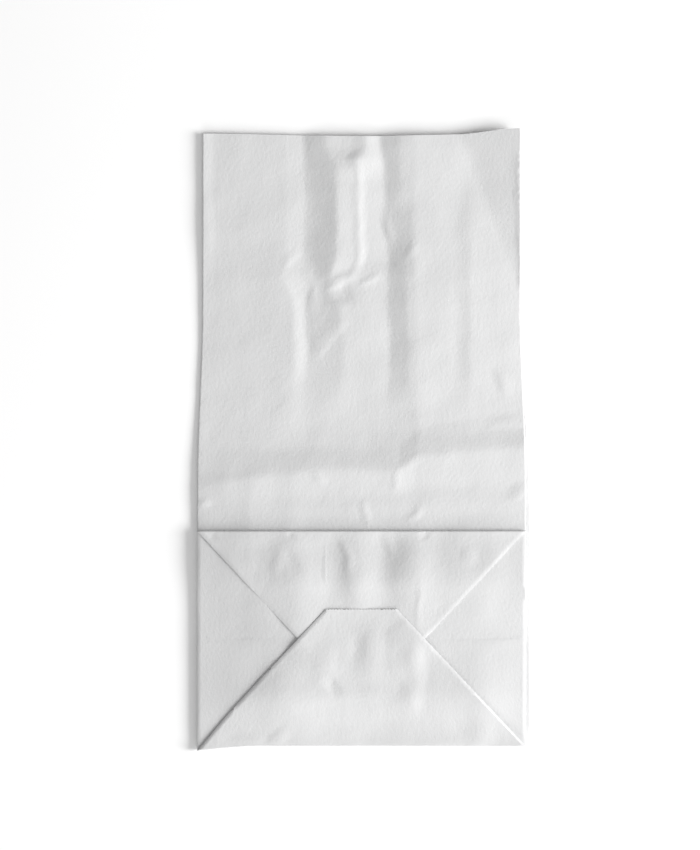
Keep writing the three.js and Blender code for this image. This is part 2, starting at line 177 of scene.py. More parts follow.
# The front's long folds: the hollow between the gussets, with the flat tie that stands out under it.
# Each is a line down the front, as (y, x, height) in the frame, and the paper runs straight between them.
LONG_LINES = {
    "left_edge": ((120.7, -64.2, 0.9), (81.2, -64.2, 0.9), (58.0, -64.2, 0.1), (-4.0, -64.2, 0.1)),
    "left_rim": ((120.7, -61.4, 0.85), (81.2, -61.4, 0.85), (58.0, -61.4, 0.1), (-4.0, -61.4, 0.1)),
    "left_body": ((120.7, -58.0, 0.5), (81.2, -58.0, 0.5), (58.0, -58.0, 0.1), (-4.0, -58.7, 0.1)),
    "left_crest": (
        (120.7, -30.1, 0.4), (77.3, -30.1, 0.45), (68.8, -29.7, 0.7), (62.6, -32.4, 0.95),
        (54.1, -27.4, 0.95), (36.7, -27.0, 0.9), (19.2, -27.4, 0.5), (-4.0, -28.5, 0.1),
    ),
    "left_gusset": (
        (120.7, -22.9, -0.1), (71.5, -22.9, -0.1), (64.2, -22.0, 0.25), (58.0, -22.7, 0.05),
        (51.8, -22.3, -0.1), (36.7, -22.1, -0.05), (28.9, -22.7, 0.1), (17.3, -23.1, 0.3),
        (-4.0, -23.1, 0.0),
    ),
    "ramp_foot": (
        (120.7, -18.9, 0.7), (112.9, -18.9, 0.7), (107.5, -19.6, 0.35), (100.6, -20.0, 0.25),
        (83.1, -20.0, 0.25), (68.8, -19.6, 0.25), (63.4, -19.2, 0.0), (57.2, -17.7, -0.1),
        (51.8, -17.7, 0.15), (38.6, -19.6, 0.2), (28.9, -19.2, 0.25), (17.3, -19.2, 0.3),
        (-4.0, -17.7, 0.0),
    ),
    "tie_left": (
        (120.7, -15.0, 1.35), (112.9, -14.6, 1.4), (108.3, -12.3, 1.8), (105.2, -10.7, 2.1),
        (99.8, -10.5, 1.9), (83.1, -10.5, 2.0), (68.8, -10.7, 1.85), (63.4, -12.3, 1.4),
        (58.7, -15.0, 0.35), (51.8, -9.2, 1.35), (44.4, -8.4, 1.15), (36.7, -7.2, 1.0),
        (21.2, -8.8, 0.65), (7.6, -9.2, 0.2), (-4.0, -9.2, 0.0),
    ),
    "groove_left": (
        (120.7, -3.8, 1.4), (112.9, -3.4, 1.5), (108.7, -6.9, 1.85), (105.2, -4.5, 1.9),
        (99.8, -3.9, 1.4), (83.1, -3.9, 1.4), (68.8, -4.1, 1.3), (63.4, -6.9, 1.2), (58.7, -7.2, 0.55),
        (51.8, -4.5, 1.2), (36.7, -3.4, 0.9), (7.6, -4.5, 0.15), (-4.0, -4.5, 0.0),
    ),
    "groove_right": (
        (120.7, -2.6, 1.45), (112.9, -2.4, 1.6), (108.7, -2.4, 2.45), (105.2, -2.2, 2.0),
        (99.8, -2.2, 1.5), (83.1, -2.1, 1.55), (68.8, -2.1, 1.45), (63.4, -4.5, 1.3), (58.7, -4.5, 1.1),
        (51.8, -2.2, 1.15), (36.7, -0.7, 0.85), (7.6, -0.7, 0.12), (-4.0, -0.7, 0.0),
    ),
    "tie_ridge": (
        (120.7, 0.9, 1.75), (112.9, 1.1, 1.8), (108.7, -0.7, 2.1), (105.2, 0.3, 1.4), (99.8, 0.5, 0.75),
        (83.1, 0.5, 0.75), (68.8, 0.5, 0.65), (63.4, -0.7, 1.05), (51.8, 1.7, 1.0), (36.7, 3.2, 0.7),
        (7.6, 3.2, 0.1), (-4.0, 3.2, 0.0),
    ),
    "tie_right": (
        (120.7, 6.7, 0.65), (112.9, 6.7, 0.65), (108.3, 7.1, 0.5), (99.8, 7.9, 0.05),
        (83.1, 8.2, -0.05), (68.8, 9.4, 0.0), (63.4, 8.6, 0.5), (51.8, 9.4, 0.55), (36.7, 9.8, 0.4),
        (21.2, 10.2, 0.3), (11.5, 9.0, 0.1), (-4.0, 9.0, 0.0),
    ),
    "valley_side": (
        (120.7, 13.7, 2.0), (112.9, 13.7, 2.0), (106.4, 14.1, 1.7), (96.7, 14.1, 1.2),
        (90.9, 13.7, 0.7), (73.5, 11.3, 0.25), (68.8, 13.3, 0.8), (63.4, 16.0, 1.6), (51.8, 16.4, 1.85),
        (36.7, 17.2, 1.8), (21.2, 17.5, 1.3), (11.5, 17.2, 0.3), (-4.0, 17.2, 0.1),
    ),
    "right_gusset": (
        (120.7, 19.5, 2.2), (112.9, 19.5, 2.2), (99.8, 19.5, 1.75), (90.9, 19.5, 1.4),
        (83.1, 19.5, 1.35), (68.8, 19.7, 1.75), (63.4, 19.9, 1.85), (51.8, 20.3, 2.0),
        (36.7, 20.3, 1.9), (21.2, 20.4, 1.4), (12.3, 20.3, 0.55), (5.7, 20.3, 0.5), (-4.0, 20.3, 0.1),
    ),
    "right_slope": (
        (120.7, 37.3, 1.45), (112.9, 37.3, 1.45), (99.8, 40.4, 1.0), (83.1, 35.7, 0.95),
        (68.8, 35.4, 1.25), (51.8, 35.4, 1.45), (23.1, 35.7, 1.05), (7.6, 34.2, 0.25),
        (-4.0, 34.2, 0.0),
    ),
    "right_line": (
        (120.7, 41.5, 1.4), (99.8, 42.7, 0.95), (83.1, 40.8, 1.1), (68.8, 40.8, 1.3), (51.8, 40.8, 1.5),
        (23.1, 41.2, 1.1), (7.6, 41.2, 0.25), (-4.0, 41.2, 0.0),
    ),
    "right_side": (
        (120.7, 60.9, 0.4), (100.6, 60.5, 0.3), (83.1, 60.5, 0.15), (36.7, 60.1, 0.1),
        (-4.0, 62.1, 0.0),
    ),
}

# The soft folds across the front above the bottom, as (x, y, height) along each line
CROSS_LINES = {
    "far_up": ((-64.9, 17.3, 0.0), (64.4, 19.2, 0.0)),
    "rise_start": ((-64.9, 7.6, 0.05), (-19.2, 4.9, 0.08), (14.1, 3.8, 0.08), (64.4, 11.5, 0.05)),
    "rise_steep": (
        (-64.9, -2.4, 0.25), (-44.0, -3.2, 0.54), (-19.2, -3.2, 0.54), (14.1, -2.4, 0.54),
        (20.3, 1.4, 0.54), (41.2, 3.0, 0.54), (64.4, 5.3, 0.41),
    ),
    "crease": (
        (-64.9, -17.2, 0.86), (-53.7, -16.0, 1.82), (-44.0, -14.4, 2.08), (-28.5, -12.9, 2.02),
        (-19.2, -11.9, 1.95), (-1.4, -11.3, 1.95), (14.1, -10.8, 1.95), (20.3, -7.1, 1.82),
        (41.2, -4.8, 1.82), (64.4, -2.4, 1.43),
    ),
    "swell": (
        (-64.9, -25.7, 0.72), (-44.0, -23.3, 1.69), (-19.2, -21.8, 1.37), (-1.4, -21.4, 1.23),
        (14.1, -20.3, 1.1), (20.3, -19.1, 0.85), (41.2, -17.9, 0.72), (64.4, -16.4, 0.52),
    ),
    "second": (
        (-64.9, -28.8, 0.71), (-44.0, -28.0, 1.72), (-19.2, -27.2, 1.55), (-1.4, -26.8, 1.44),
        (14.1, -26.4, 1.32), (20.3, -25.3, 1.09), (41.2, -24.5, 0.98), (64.4, -23.3, 0.63),
    ),
    "dip": (
        (-64.9, -31.1, 0.75), (-44.0, -31.1, 1.84), (-19.2, -30.3, 1.52), (14.1, -29.9, 1.26),
        (41.2, -28.8, 0.84), (64.4, -28.0, 0.47),
    ),
    "foot": (
        (-64.9, -36.1, 0.91), (-44.0, -36.1, 2.4), (-19.2, -35.7, 2.0), (14.1, -35.4, 1.7),
        (41.2, -35.4, 1.3), (64.4, -35.0, 0.6),
    ),
    "under": (
        (-64.9, -81.4, 0.91), (-44.0, -81.4, 2.4), (-19.2, -81.4, 2.0), (14.1, -81.4, 1.7),
        (41.2, -81.4, 1.3), (64.4, -81.4, 0.6),
    ),
}

# The pleats down the bottom's upper flap, as (y, x, height)
UPPER_LINES = {
    "pleat_start": ((-34.6, -49.4, 0.0), (-73.7, -49.4, 0.0)),
    "plain": ((-34.6, -34.0, 0.0), (-40.8, -37.1, -0.45), (-52.4, -37.8, -0.6), (-73.7, -38.6, -0.3)),
    "left_ridge": (
        (-34.6, -24.7, 0.0), (-39.6, -23.9, 0.5), (-52.4, -23.9, 0.6), (-63.6, -24.3, 0.35),
        (-73.7, -24.3, 0.15),
    ),
    "left_valley": (
        (-34.6, -13.0, 0.0), (-39.6, -11.9, -0.55), (-52.4, -11.5, -0.85), (-63.6, -11.1, -0.4),
        (-73.7, -10.7, -0.2),
    ),
    "middle_ridge": (
        (-34.6, -6.9, 0.0), (-39.6, -5.7, 0.35), (-52.4, -3.0, 0.6), (-63.6, -2.6, 0.35),
        (-73.7, -2.6, 0.2),
    ),
    "middle_valley": (
        (-34.6, 7.9, 0.0), (-39.6, 8.2, -0.7), (-52.4, 8.6, -0.9), (-63.6, 8.2, -0.4),
        (-73.7, 8.2, -0.2),
    ),
    "right_ridge": (
        (-34.6, 19.5, 0.0), (-39.6, 18.7, 0.3), (-52.4, 19.5, 0.45), (-63.6, 20.3, 0.4),
        (-73.7, 21.0, 0.3),
    ),
    "right_foot": ((-34.6, 26.4, 0.0), (-52.4, 30.3, -0.3), (-73.7, 25.7, -0.1)),
    "pleat_end": ((-34.6, 41.2, 0.0), (-73.7, 41.2, 0.0)),
}

# The lower flap's slack: it rises a little to its right edge and its foot, as (y, x, height)
LOWER_LINES = {
    "middle": ((-62.1, 15.6, 0.0), (-81.4, 15.6, 0.0), (-118.2, 15.6, 0.8), (-124.0, 15.6, 0.8)),
    "right": ((-62.1, 62.5, 1.3), (-81.4, 62.5, 1.3), (-118.2, 62.5, 1.8), (-124.0, 62.5, 1.8)),
    "beyond": ((-62.1, 68.3, 1.3), (-81.4, 68.3, 1.3), (-118.2, 68.3, 1.8), (-124.0, 68.3, 1.8)),
    "left": ((-62.1, -67.3, 0.0), (-81.4, -67.3, 0.0), (-118.2, -67.3, 0.5), (-124.0, -67.3, 0.5)),
}

# The sets of folds that each layer has: the lines, whether they run up and down, and their spread
SOFT_FOLDS = {
    "front": ((LONG_LINES, True, FRONT_SPREAD), (CROSS_LINES, False, CROSS_SPREAD)),
    "upper_flap": ((UPPER_LINES, True, FLAP_SPREAD),),
    "lower_flap": ((LOWER_LINES, True, FLAP_SPREAD),),
}

# Creases and dents in each layer that is seen. Each is a line of (x, y) with its height above the flat
# paper, negative for a valley, and how far it reaches to its left and to its right along the line.
CREASES = {
    "front": {
        # The shade down the right edge
        "edge_roll": (((60.5, 114.1), (60.7, 83.1), (61.1, 54.1)), 0.3, 1.5, 1.5),
        # The wedge under the tie's end
        "wedge_bright": (((-23.5, 68.8), (-18.5, 60.3), (-20.8, 47.1)), 0.3, 3.5, 2.0),
        "wedge_dart": (((-17.7, 56.8), (-8.4, 62.2), (-0.7, 64.2)), 0.45, 2.2, 1.8),
        "wedge_low": (((-16.9, 57.2), (-6.9, 60.3), (-4.5, 61.8)), 0.35, 1.5, 4),
        "dart_right": (((-3.0, 59.5), (7.1, 63.0)), 0.25, 1.5, 1.6),
        "long_diagonal": (((-22.0, 30.1), (-13.0, 40.2), (-4.5, 49.4)), 0.22, 5, 2.4),
        # Marks in the valley on the right
        "valley_point": (((7.5, 91.3), (9.0, 85.1), (12.1, 72.7)), 0.25, 2.0, 1.8),
        "valley_notch": (((14.4, 67.3), (18.3, 72.3), (21.8, 77.3)), 0.18, 1.8, 2.0),
        # The right and left plains
        "right_soft": (((38.1, 81.2), (38.1, 17.3)), -0.1, 3, 4),
        "right_leaf": (((52.0, 29.7), (53.9, 22.0), (56.3, 14.6)), 0.3, 3.5, 2),
        "right_smudge": (((46.6, 6.5), (62.8, 7.2)), 0.2, 3, 2),
        "left_soft": (((-53.3, 77.3), (-53.3, 51.8)), 0.2, 7, 9),
        "left_mark": (((-33.2, 65.3), (-22.7, 75.0)), 0.15, 2.2, 1.6),
        # Marks on the folds across the front
        "cross_dart": (((-20.8, -11.3), (-15.0, -18.3)), 0.22, 1.6, 1.8),
        "cross_dent": (((12.9, -9.0), (12.9, -21.8)), 0.15, 2.0, 1.6),
        "low_line": (((-0.7, -22.2), (2.4, -35.0)), 0.25, 1.5, 1.5),
        "low_kink": (((22.6, -23.3), (20.6, -29.2), (14.8, -32.3)), 0.25, 1.7, 1.7),
        "edge_notch": (((-64.9, -23.7), (-58.7, -24.9)), 0.35, 1.5, 1.5),
        "edge_marks": (((54.7, -22.2), (65.2, -18.7)), 0.22, 3, 2.5),
    },
    "upper_flap": {
        "left_curve": (((-11.1, -35.0), (-5.7, -45.0), (-5.7, -55.5)), 0.25, 2.2, 1.6),
        "middle_nick": (((7.9, -34.2), (9.8, -40.8), (12.1, -46.6)), 0.25, 2.2, 1.6),
        "small_roof": (((-30.5, -39.6), (-35.9, -54.3)), 0.18, 2.5, 2.5),
        "small_roof_right": (((-30.5, -39.6), (-24.7, -53.5)), -0.15, 2.5, 2.5),
        "right_soft": (((40.8, -39.6), (40.4, -49.7)), 0.25, 3, 3.5),
        "right_line": (((21.0, -52.4), (21.0, -74.5)), 0.2, 1.6, 0.8),
        "fold_tick_1": (((-59.5, -35.0), (-58.4, -38.1)), -0.3, 1.2, 1.5),
        "fold_tick_2": (((-28.1, -35.0), (-27.4, -38.4)), -0.3, 1.2, 1.5),
        "fold_tick_3": (((24.1, -34.6), (23.3, -38.8)), -0.3, 1.2, 1.5),
    },
    "lower_flap": {
        "blotch_edge": (((17.5, -71.4), (18.7, -89.9), (16.4, -108.5)), 0.6, 5, 20),
        "blotch_inner": (((12.9, -78.3), (16.0, -91.5), (11.7, -103.9)), -0.12, 3, 3),
        "top_right": (((6.3, -77.9), (23.3, -67.1)), 0.3, 3, 7),
        "bright_patch": (((2.1, -69.0), (2.4, -94.6)), 0.3, 5, 6.5),
        "left_patch": (((-14.6, -76.0), (-14.2, -93.8)), 0.25, 4, 6),
        "middle_valley": (((-2.6, -72.1), (-2.2, -88.4)), -0.2, 3, 3),
        "short_diagonal": (((-14.6, -89.9), (-8.4, -100.0)), -0.3, 2.2, 2.4),
        "hidden_edge": (((-46.0, -96.1), (-25.8, -100.8), (-10.0, -96.9), (14.1, -94.2)), 0.22, 7, 4.5),
        "left_corner_low": (((-39.4, -120.5), (-27.0, -108.5)), 0.2, 2, 3),
        "step_line": (((-52.5, -115.9), (-35.1, -116.7)), 0.22, 1.5, 1.5),
        "foot_shade": (((-39.4, -116.7), (6.3, -117.1), (52.8, -115.9)), 0.3, 7, 2),
        "right_low": (((46.6, -93.0), (46.2, -119.4)), 0.2, 5, 6),
    },
    "side_flap": {
        "left_fold": (((-37.8, -56.3), (-40.9, -87.2)), 0.22, 9, 7),
        "right_dark_high": (((45.8, -51.2), (45.0, -72.9)), 0.22, 5, 7),
        "right_dark_low": (((45.8, -76.0), (45.8, -101.6)), 0.22, 5, 7),
        "right_centre": (((21.8, -77.7), (65.9, -77.9)), 0.14, 1.2, 1.2),
        "left_centre": (((-67.3, -78.1), (-20.8, -78.1)), 0.12, 1.2, 1.2),
    },
}

# The paper's whiteness, its clouds, its fibres' mottle and its tooth
PAPER_DARKER = (0.737, 0.738, 0.74, 1)
PAPER_LIGHTER = (0.793, 0.794, 0.796, 1)
PAPER_SHEEN = {"IOR": 1.45, "Specular IOR Level": 0.35}
PAPER_ROUGHNESS = (0.72, 0.84)
CLOUDS = {"Scale": 60, "Detail": 4, "Roughness": 0.6}
CLOUD_SHARE = 0.6
MOTTLE = {"Scale": 900, "Detail": 3, "Roughness": 0.6}
MOTTLE_STRETCH = (1, 0.75, 1)
MOTTLE_BUMP = {"Strength": 1.0, "Distance": 0.12 * MM}
TOOTH = {"Scale": 2600, "Detail": 2, "Roughness": 0.6}
TOOTH_BUMP = {"Strength": 0.2, "Distance": 0.01 * MM}
NOISE_RANGE = (0.3, 0.7)

# The floor. FLOOR_WHITE is its colour to the camera alone, FLOOR_GREY to all other light.
FLOOR_SIZE = 6.0
FLOOR_WHITE = 1.2
FLOOR_GREY = 0.8
FLOOR_ROUGHNESS = 0.9

# The camera and the lamps, in metres, degrees and watts. Each lamp's way is its turn from +x and its rise.
CAMERA_HEIGHT = 1.5
PICTURE_HEIGHT = 0.3291
PICTURE_MIDDLE = (-0.0053, 0.0057)
SENSOR = 36.0
LAMP_DISTANCE = 1.6
KEY_LAMP = {"turn": -8, "rise": 25, "size": 0.96, "power": 30.3}
FOOT_LAMP = {"turn": -85, "rise": 26, "size": 0.9, "power": 4.8}
FILL_STRENGTH = 0.38
FILL_LEAN = -0.9


def layer_heights():
    """The height of each layer's middle above the table."""
    heights = {}
    height = PAPER / 2
    for layer in LAYERS:
        heights[layer] = height
        height += LAYER_STEP + ROOM_ABOVE.get(layer, 0)
    return heights


HEIGHT_OF = layer_heights()


def smooth(start, end, t):
    """0 before start and 1 past end, with an eased rise between them."""
    s = np.clip((t - start) / (end - start), 0, 1)
    return s * s * (3 - 2 * s)


def box(u0, u1, v0, v1):
    return [(u0, v0), (u1, v0), (u1, v1), (u0, v1)]


# The facets of the blank, each with its layer, its corners and the place that a point of it folds to
def back_facets():
    width, turn = BAG_WIDTH, TURN
    return [
        ("back", box(0, width, 0, MOUTH), lambda u, v: (u - HALF, v)),
        ("lower_flap", [(0, 0), (width, 0), (width - turn, -turn), (turn, -turn)],
         lambda u, v: (u - HALF, -v)),
        ("lower_mitre", [(0, 0), (turn, -turn), (0, -turn)], lambda u, v: (-HALF - v, u)),
        ("lower_mitre", [(width, 0), (width, -turn), (width - turn, -turn)],
         lambda u, v: (HALF + v, width - u)),
    ]


def front_facets():
    start, end, turn = FRONT_START, FRONT_START + BAG_WIDTH, TURN

    def across(u):
        return HALF - (u - start)

    return [
        ("front", box(start, end, CENTRE_FOLD, MOUTH), lambda u, v: (across(u), v)),
        ("front_under", box(start, end, 0, CENTRE_FOLD), lambda u, v: (across(u), GUSSET - v)),
        ("upper_flap", [(start, 0), (end, 0), (end - turn, -turn), (start + turn, -turn)],
         lambda u, v: (across(u), GUSSET + v)),
        ("upper_mitre", [(start, 0), (start + turn, -turn), (start, -turn)],
         lambda u, v: (HALF + v, GUSSET - (u - start))),
        ("upper_mitre", [(end, 0), (end, -turn), (end - turn, -turn)],
         lambda u, v: (-HALF - v, GUSSET - (end - u))),
    ]


# A gusset's own way across, s, runs from the back's corner to the front's. side is 1 on the right.
def gusset_facets(side):
    fold, mouth, turn = CENTRE_FOLD, MOUTH, TURN

    def swap(a):
        return BAG_WIDTH + a if side > 0 else WAY_ROUND - a

    def s_of(u):
        return u - BAG_WIDTH if side > 0 else WAY_ROUND - u

    shapes = [
        ("gusset_back", [(0, 0), (fold, fold), (fold, mouth), (0, mouth)],
         lambda s, v: (side * (HALF - s), v)),
        ("gusset_front", box(fold, GUSSET, fold, mouth), lambda s, v: (side * (HALF - GUSSET + s), v)),
        ("corner_tuck", [(GUSSET, 0), (GUSSET, fold), (fold, fold)],
         lambda s, v: (side * (HALF - GUSSET + s), GUSSET - v)),
        ("side_tuck", [(0, 0), (GUSSET, 0), (fold, fold)], lambda s, v: (side * (HALF - v), s)),
        ("side_flap", box(0, GUSSET, -turn, 0), lambda s, v: (side * (HALF + v), s)),
    ]
    return [
        (layer, [(swap(s), v) for s, v in corners], lambda u, v, place=place: place(s_of(u), v))
        for layer, corners, place in shapes
    ]


FACETS = [*back_facets(), *gusset_facets(1), *front_facets(), *gusset_facets(-1)]


def distance_to(corners, u, v):
    """How far each point of the blank lies outside a facet, and 0 within it."""
    nearest = np.full(u.shape, np.inf)
    inside = np.ones(u.shape, bool)
    area = sum(a[0] * b[1] - a[1] * b[0] for a, b in zip(corners, corners[1:] + corners[:1]))
    for (au, av), (bu, bv) in zip(corners, corners[1:] + corners[:1]):
        du, dv = bu - au, bv - av
        along = np.clip(((u - au) * du + (v - av) * dv) / (du * du + dv * dv), 0, 1)
        nearest = np.minimum(nearest, np.hypot(u - au - along * du, v - av - along * dv))
        inside &= (du * (v - av) - dv * (u - au)) * np.sign(area) >= 0
    return np.where(inside, 0, nearest)


def layer_shares(u, v):
    """How much of each layer the sheet is at points of the blank, and where its nearest facet folds to."""
    shares = {layer: np.zeros(u.shape) for layer in LAYERS}
    best = np.full(u.shape, -1.0)
    x = np.zeros(u.shape)
    y = np.zeros(u.shape)
    for layer, corners, place in FACETS:
        for wrap in (-WAY_ROUND, 0, WAY_ROUND):
            moved = u + wrap
            reach = np.minimum(1, distance_to(corners, moved, v) / FOLD_REACH)
            rise = np.sqrt(1 - (1 - reach) ** 2)
            share = (1 - rise) / (1 + rise)
            shares[layer] += share
            nearer = share > best
            best = np.where(nearer, share, best)
            placed_x, placed_y = place(moved, v)
            x = np.where(nearer, placed_x, x)
            y = np.where(nearer, placed_y, y)
    total = sum(shares.values())
    return {layer: share / total for layer, share in shares.items()}, x, y


def nesting(u, v):
    """Folds that another one wraps lie a little inside it, and the gussets' cross fold a little outside."""
    s = np.where((u > BAG_WIDTH) & (u < FRONT_START), u - BAG_WIDTH, WAY_ROUND - u)
    in_gusset = (s > 0) & (s < GUSSET)
    depth = -v
    grown = np.clip(depth / FOLD_START, 0, 1)
    on_front = u >= FRONT_START
    across = np.where(on_front, u - FRONT_START, u)
    from_corner = np.minimum(across, BAG_WIDTH - across)
    corner_share = np.clip(1 - from_corner / np.maximum(depth, FOLD_REACH), 0, 1)
    flap = np.where(in_gusset, 1 - 2 * s / GUSSET, np.where(on_front, -corner_share, corner_share))
    near_bend = np.clip(1 - np.abs(v - CENTRE_FOLD) / BEND_FADE, 0, 1)
    wrapped = (1 + np.clip((GUSSET - s) / FOLD_REACH, 0, 1)) / 2
    gusset_bend = wrapped * np.clip(1 - (CENTRE_FOLD - s) / (2 * BEND_FADE), 0, 1)
    from_side = np.minimum(u - FRONT_START, FRONT_START + BAG_WIDTH - u)
    front_bend = np.clip(1 - from_side / FOLD_REACH, 0, 1) / 2
    bend = -BEND_NEST * near_bend * np.where(in_gusset, gusset_bend, front_bend)
    return np.where(v < 0, FOLD_NEST * flap * grown, bend)


def settle(x, y, height):
    """The bag as it lies: narrower to the mouth, its back out past its front, its corners astray."""
    width_share = 1 - (MOUTH_NARROWING / BAG_WIDTH) * smooth(NARROW_FROM, NARROW_TO, y)
    behind = 1 - smooth(HEIGHT_OF["gusset_back"], HEIGHT_OF["gusset_front"], height)
    up = (1 - smooth(BOTTOM_DEPTH, PEEK_END, y)) * smooth(*PEEK_START, y)
    peek = BACK_PEEK * behind * smooth(0, HALF, x) * up
    to_mouth = smooth(FOLDED_LENGTH - MOUTH_REACH, FOLDED_LENGTH, y)
    hollow = MOUTH_HOLLOW * smooth(0, HALF, np.abs(x)) + MOUTH_KICK * smooth(KICK_FROM, HALF, x)
    in_heel = np.clip(1 - (x + HALF) / HEEL_REACH, 0, 1) ** HEEL_CURVE
    droop = -HEEL_DROOP * in_heel * (1 - smooth(0, HEEL_FADE, y))
    return x * width_share + peek - CENTRE_X, y + to_mouth * hollow + droop - CENTRE_Y


def corner_lift(x, y):
    """The mouth's right corner is bent up, every layer of it."""
    run_x, run_y = LIFT_SIDE[0] - LIFT_TOP[0], LIFT_SIDE[1] - LIFT_TOP[1]
    beyond = (run_x * (y - LIFT_TOP[1]) - run_y * (x - LIFT_TOP[0])) / math.hypot(run_x, run_y)
    return LIFT_SLOPE * (np.hypot(np.maximum(0, beyond), LIFT_EASE) - LIFT_EASE)


def swell(x, y, height):
    """How far the bottom's layers stand up, from none at the front's height to all at the side flaps'."""
    base = HEIGHT_OF["front"]
    share = np.clip((height - base) / (HEIGHT_OF["side_flap"] - base), 0, 1)
    places, heights = zip(*SWELL_LINE)
    arch = sum(np.interp(x + shift, places, heights) for shift in SWELL_SOFTEN) / len(SWELL_SOFTEN)
    return share * arch * smooth(0, SWELL_RUN, np.minimum(y, BOTTOM_DEPTH - y))


def sink(x, y):
    """How far the lower flap sinks beside and below the upper one, and in its middle."""
    below = BOTTOM_DEPTH - FLAP_DEPTH - y
    beside = np.abs(x) - (HALF - (BOTTOM_DEPTH - y) / MITRE_RISE)
    middle = SINK_MIDDLE * (1 - smooth(*SINK_MIDDLE_REACH, np.abs(x)))
    return SINK * smooth(*SINK_RUN, np.maximum(below, SINK_SLANT * beside)) + middle


def between_lines(lines, along, across):
    """The height of paper that runs straight from each fold line to the next."""
    ordered = []
    for points in lines.values():
        stations, places, heights = (np.array(column) for column in zip(*sorted(points)))
        ordered.append((np.interp(along, stations, places), np.interp(along, stations, heights)))
    ordered.sort(key=lambda line: line[0].mean())
    height = np.zeros(across.shape)
    for (start, low), (end, high) in zip(ordered, ordered[1:]):
        share = (across - start) / np.maximum(end - start, LEAST_WIDTH)
        between = (share >= 0) & (share < 1)
        height = np.where(between, low + (high - low) * share, height)
    return height


def crease_height(x, y, points, height, left, right):
    """A fold along a line, rounded at its top and dying out at its sides and both ends."""
    total = sum(math.dist(a, b) for a, b in zip(points, points[1:]))
    nearest = np.full(x.shape, np.inf)
    side = np.zeros(x.shape)
    place = np.zeros(x.shape)
    gone = 0
    for (ax, ay), (bx, by) in zip(points, points[1:]):
        dx, dy = bx - ax, by - ay
        length = math.hypot(dx, dy)
        along = np.clip(((x - ax) * dx + (y - ay) * dy) / length ** 2, 0, 1)
        away = np.hypot(x - ax - along * dx, y - ay - along * dy)
        closer = away < nearest
        nearest = np.where(closer, away, nearest)
        side = np.where(closer, dx * (y - ay) - dy * (x - ax), side)
        place = np.where(closer, gone + along * length, place)
        gone += length
    reach = np.where(side > 0, left, right)
    soft = CREASE_ROUND * min(left, right)
    rounded = np.hypot(nearest, soft) - soft
    ends = np.minimum(place, total - place) / min(CREASE_END, total * CREASE_END_SHARE)
    tent = np.clip(1 - rounded / reach, 0, 1)
    eased = CREASE_STRAIGHT * tent + (1 - CREASE_STRAIGHT) * smooth(0, 1, tent)
    return height * eased * smooth(0, 1, ends)


def ripple(x, y, length, seed):
    """A soft random wave pattern of about one unit, with waves of about that length."""
    chance = np.random.default_rng(seed)
    total = np.zeros(x.shape)
    for _ in range(WAVE_COUNT):
        way, phase = chance.uniform(0, 2 * math.pi, 2)
        wave = length * chance.uniform(*WAVE_SPREAD)
        total += np.sin((x * math.cos(way) + y * math.sin(way)) * 2 * math.pi / wave + phase)
    return total / math.sqrt(WAVE_COUNT)


def relief(layer, x, y):
    """What a layer's own surface does beside its folds, at points of the frame."""
    height = sum(rise * ripple(x, y, length, seed) for seed, (length, rise) in enumerate(WAVES))
    astray = [sum(way * ripple(x, y, length, seed) for length, way in WANDER) for seed in WANDER_SEEDS]
    x = x + astray[0]
    y = y + astray[1]
    for points, rise, left, right in CREASES[layer].values():
        height = height + crease_height(x, y, points, rise, left, right)
    for shift in SOFTEN:
        for lines, upright, spread in SOFT_FOLDS.get(layer, ()):
            along, across = (y, x) if upright else (x, y)
            height += between_lines(lines, along, across + spread * shift) / len(SOFTEN)
    return height


def sheet_relief(shares, x, y):
    """The relief of the sheet at points of the frame, from its share of each layer."""
    raised = np.zeros(x.shape)
    above_bottom = smooth(-FOLLOW_RUN, 0, y - (BOTTOM_DEPTH - CENTRE_Y))
    for layer, share in shares.items():
        here = (share > 0) & (above_bottom > 0)
        follows = FOLLOWS_LESS.get(layer, 1.0) * above_bottom[here]
        raised[here] += share[here] * follows * relief("front", x[here], y[here])
        if layer in OWN_RELIEF:
            here = share > 0
            raised[here] += share[here] * relief(layer, x[here], y[here])
    return raised


def sheet_middle(u, v):
    """The middle of the sheet at points of the blank, as rows of x, y and z in the frame."""
    u = u % WAY_ROUND
    shares, x, flat_y = layer_shares(u, v)
    y = (flat_y + nesting(u, v)) * MITRE_RISE
    height = sum(share * HEIGHT_OF[layer] for layer, share in shares.items())
    height -= sum(shares[layer] for layer in SINKING) * sink(x, y)
    frame_x, frame_y = settle(x, y, height)
    raised = sheet_relief(shares, frame_x, frame_y)
    return np.stack([frame_x, frame_y, height + raised + swell(x, y, height) + corner_lift(x, y)], -1)


def sheet_faces(u, v):
    """The outer and the inner face of the sheet at points of the blank. The lap is of double thickness."""
    middle = sheet_middle(u, v)
    across = sheet_middle(u + SLOPE_STEP, v) - sheet_middle(u - SLOPE_STEP, v)
    up = sheet_middle(u, np.minimum(v + SLOPE_STEP, MOUTH)) - sheet_middle(u, v - SLOPE_STEP)
    outward = np.cross(up, across)
    outward /= np.linalg.norm(outward, axis=1, keepdims=True)
    on_back = (u > 0) & (u < BAG_WIDTH) & (v > 0)
    steps_in = on_back & (u < LAP_INSET + LAP_STEP / 2)
    lapped = on_back & (u < LAP_INSET + LAP_WIDTH + LAP_STEP / 2)
    outer = PAPER / 2 - np.where(steps_in, PAPER, 0)
    inner = -PAPER / 2 - np.where(lapped, PAPER, 0)
    return middle + outward * outer[:, None], middle + outward * inner[:, None]


def spaced(start, end, step):
    """Even stations from start to end, both included, no further apart than step."""
    count = max(1, math.ceil((end - start) / step))
    return list(np.linspace(start, end, count + 1))


def mirrored(stations, width):
    return [width - a for a in reversed(stations)]


